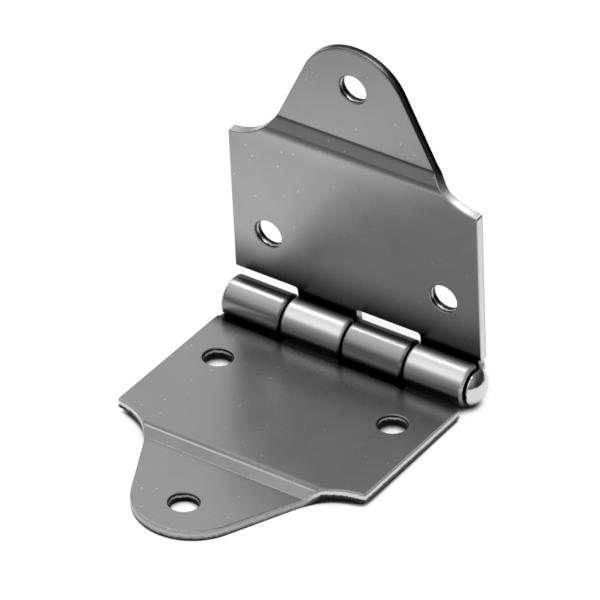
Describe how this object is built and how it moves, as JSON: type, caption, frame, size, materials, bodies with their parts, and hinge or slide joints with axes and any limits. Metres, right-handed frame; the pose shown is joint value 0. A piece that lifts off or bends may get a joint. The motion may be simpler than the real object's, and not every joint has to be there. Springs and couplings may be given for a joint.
{
  "type": "flight case hinge",
  "caption": "Pressed steel hinge with scalloped leaves, cranked rounded tongues, rolled knuckles and a plain pin with domed heads.",
  "frame": {"origin": "half way between the base leaf's plate holes, on the back face of its plate", "axes": "+X along the pin, +Z out of the base plate's knuckle side, base leaf toward -Y"},
  "size_m": [0.0496, 0.0594, 0.0605],
  "materials": {
    "base_leaf": "satin bright plated sheet steel",
    "swing_leaf": "satin bright plated sheet steel",
    "hinge_pin": "bright plated steel wire"
  },
  "bodies": {
    "base": {"base_leaf": "base_leaf", "hinge_pin": "hinge_pin"},
    "swing": {"swing_leaf": "swing_leaf"}
  },
  "joints": [
    {"name": "leaf_swing", "type": "hinge", "parent": "base", "child": "swing", "pos_m": [0, 0.0139, 0.0034], "axis": [1, 0, 0], "range_deg": [-184, 86]}
  ]
}
